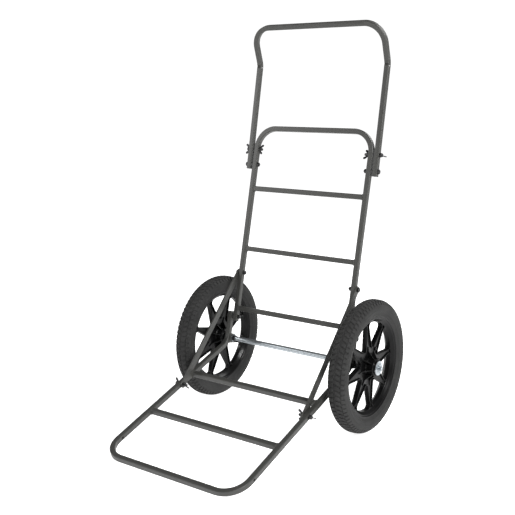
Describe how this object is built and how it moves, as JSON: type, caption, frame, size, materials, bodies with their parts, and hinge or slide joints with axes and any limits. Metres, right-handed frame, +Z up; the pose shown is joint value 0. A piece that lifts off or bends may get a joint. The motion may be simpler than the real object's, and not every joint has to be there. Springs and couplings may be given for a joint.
{
  "type": "folding game cart",
  "caption": "Folding two-wheeled game cart: sloping toe bed, leaning ladder-like upright, kinked U handle, side braces and spoked wheels on one axle.",
  "frame": {"origin": "on the ground under the middle of the cart's overall box", "axes": "+Z up, +Y to the back, +X to the cart's right as seen from the front with the toe bed nearest"},
  "size_m": [0.6654, 0.8162, 1.231],
  "materials": {
    "powder_coat": "satin dark warm-grey powder coat",
    "black_plastic": "matt moulded plastic",
    "zinc": "bright zinc plate",
    "dark_steel": "black oxide, satin",
    "wheel_plastic": "semi-gloss moulded black plastic",
    "tyre_rubber": "matt dark grey rubber",
    "bush_nylon": "natural nylon"
  },
  "bodies": {
    "lower_frame": {"toe_frame": "powder_coat", "toe_rear_crossbar": "powder_coat", "toe_middle_crossbar": "powder_coat", "toe_tube_plugs": "black_plastic", "axle_plates": "powder_coat", "axle_rod": "zinc", "axle_sleeve": "zinc", "axle_nuts": "dark_steel", "axle_washers": "zinc", "axle_cotter_pins": "zinc", "hinge_bolts": "dark_steel", "hinge_nuts": "dark_steel", "hinge_spacers": "black_plastic"},
    "upright": {"upright_frame": "powder_coat", "upright_lower_crossbar": "powder_coat", "upright_middle_crossbar": "powder_coat", "upright_upper_crossbar": "powder_coat", "upright_tube_plugs": "black_plastic", "handle_pivot_bolts": "dark_steel", "handle_pivot_nuts": "dark_steel", "handle_pivot_spacers": "black_plastic", "handle_lock_studs": "dark_steel", "brace_bolts": "dark_steel", "brace_nuts": "dark_steel"},
    "handle": {"handle_frame": "powder_coat", "handle_tube_plugs": "black_plastic"},
    "left_brace": {"brace_left": "powder_coat", "brace_stud_left": "dark_steel"},
    "right_brace": {"brace_right": "powder_coat", "brace_stud_right": "dark_steel"},
    "left_wheel": {"wheel_rim_left": "wheel_plastic", "tyre_left": "tyre_rubber", "hub_bushes_left": "bush_nylon"},
    "right_wheel": {"wheel_rim_right": "wheel_plastic", "tyre_right": "tyre_rubber", "hub_bushes_right": "bush_nylon"},
    "left_handle_wing_bolt": {"handle_wing_bolt_left": "dark_steel"},
    "right_handle_wing_bolt": {"handle_wing_bolt_right": "dark_steel"},
    "left_brace_wing_bolt": {"brace_wing_bolt_left": "dark_steel"},
    "right_brace_wing_bolt": {"brace_wing_bolt_right": "dark_steel"},
    "left_handle_wing_nut": {"handle_wing_nut_left": "dark_steel"},
    "right_handle_wing_nut": {"handle_wing_nut_right": "dark_steel"},
    "left_brace_wing_nut": {"brace_wing_nut_left": "dark_steel"},
    "right_brace_wing_nut": {"brace_wing_nut_right": "dark_steel"}
  },
  "joints": [
    {"name": "frame_fold", "type": "hinge", "parent": "lower_frame", "child": "upright", "pos_m": [0, 0.20576, 0.28086], "axis": [1, 0, 0], "range_deg": [0, 120]},
    {"name": "handle_fold", "type": "hinge", "parent": "upright", "child": "handle", "pos_m": [0, 0.31745, 0.78053], "axis": [-1, 0, 0], "range_deg": [0, 180]},
    {"name": "left_brace_swing", "type": "hinge", "parent": "upright", "child": "left_brace", "pos_m": [-0.224, 0.23827, 0.42627], "axis": [1, 0, 0], "range_deg": [-144, 0]},
    {"name": "left_wheel_spin", "type": "hinge", "parent": "lower_frame", "child": "left_wheel", "pos_m": [-0.285, 0.20355, 0.2045], "axis": [1, 0, 0], "continuous": true},
    {"name": "left_handle_wing_bolt_pull", "type": "slide", "parent": "handle", "child": "left_handle_wing_bolt", "axis": [-1, 0, 0], "range_m": [0, 0.035]},
    {"name": "left_brace_wing_bolt_pull", "type": "slide", "parent": "lower_frame", "child": "left_brace_wing_bolt", "axis": [-1, 0, 0], "range_m": [0, 0.035]},
    {"name": "left_handle_wing_nut_turn", "type": "hinge", "parent": "upright", "child": "left_handle_wing_nut", "pos_m": [-0.213, 0.32858, 0.8303], "axis": [1, 0, 0], "continuous": true},
    {"name": "left_brace_wing_nut_turn", "type": "hinge", "parent": "left_brace", "child": "left_brace_wing_nut", "pos_m": [-0.22, -0.05927, 0.11693], "axis": [1, 0, 0], "continuous": true},
    {"name": "right_brace_swing", "type": "hinge", "parent": "upright", "child": "right_brace", "pos_m": [0.224, 0.23827, 0.42627], "axis": [1, 0, 0], "range_deg": [-144, 0]},
    {"name": "right_wheel_spin", "type": "hinge", "parent": "lower_frame", "child": "right_wheel", "pos_m": [0.285, 0.20355, 0.2045], "axis": [1, 0, 0], "continuous": true},
    {"name": "right_handle_wing_bolt_pull", "type": "slide", "parent": "handle", "child": "right_handle_wing_bolt", "axis": [1, 0, 0], "range_m": [0, 0.035]},
    {"name": "right_brace_wing_bolt_pull", "type": "slide", "parent": "lower_frame", "child": "right_brace_wing_bolt", "axis": [1, 0, 0], "range_m": [0, 0.035]},
    {"name": "right_handle_wing_nut_turn", "type": "hinge", "parent": "upright", "child": "right_handle_wing_nut", "pos_m": [0.213, 0.32858, 0.8303], "axis": [1, 0, 0], "continuous": true},
    {"name": "right_brace_wing_nut_turn", "type": "hinge", "parent": "right_brace", "child": "right_brace_wing_nut", "pos_m": [0.22, -0.05927, 0.11693], "axis": [1, 0, 0], "continuous": true}
  ],
  "couplings": [
    {"joint": "left_brace_swing", "follows": "frame_fold", "ratio": -1.2},
    {"joint": "right_brace_swing", "follows": "frame_fold", "ratio": -1.2}
  ]
}
